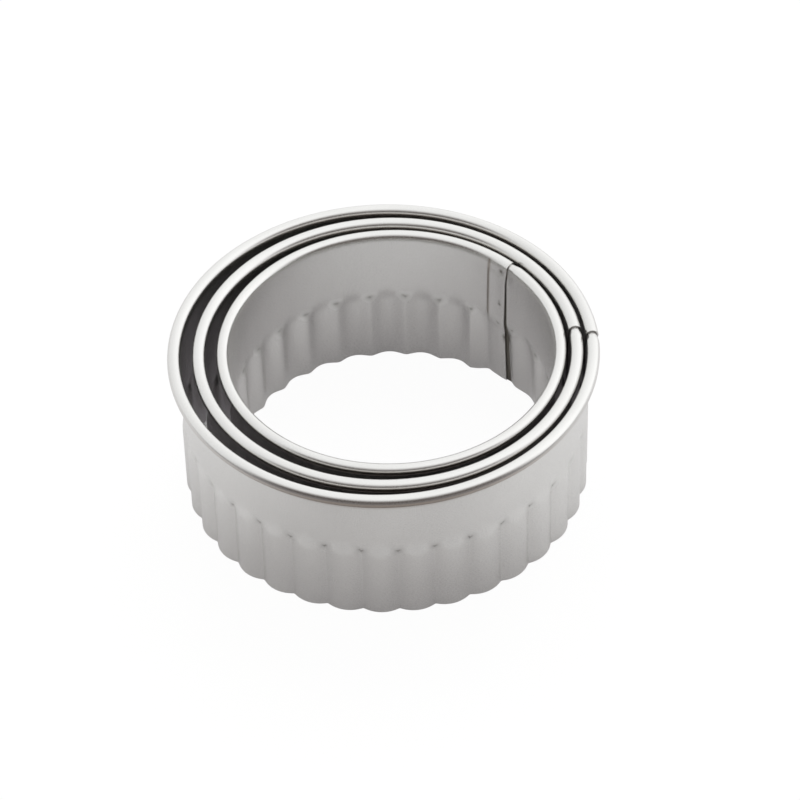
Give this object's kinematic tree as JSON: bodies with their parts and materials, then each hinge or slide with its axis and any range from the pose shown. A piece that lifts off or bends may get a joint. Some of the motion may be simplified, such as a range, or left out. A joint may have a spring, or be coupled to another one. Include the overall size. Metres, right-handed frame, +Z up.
{
  "type": "biscuit cutter set",
  "caption": "Nest of round fluted biscuit cutters in sheet steel, each with a rolled rim, a lapped and spot-welded seam and a scalloped cutting edge.",
  "frame": {"origin": "at the table, under the axis of the largest ring", "axes": "+Z up along the axis of the rings; the picture is taken from -Y, with +X to its right"},
  "size_m": [0.095, 0.095, 0.037],
  "materials": {
    "steel": "bright rolled stainless sheet with a fine grain"
  },
  "bodies": {
    "large_cutter": {"large_ring": "steel"},
    "medium_cutter": {"medium_ring": "steel"},
    "small_cutter": {"small_ring": "steel"}
  },
  "joints": [
    {"name": "medium_lift", "type": "slide", "parent": "large_cutter", "child": "medium_cutter", "axis": [0, 0, 1], "range_m": [0, 0.045]},
    {"name": "small_lift", "type": "slide", "parent": "large_cutter", "child": "small_cutter", "axis": [0, 0, 1], "range_m": [0, 0.09]}
  ]
}
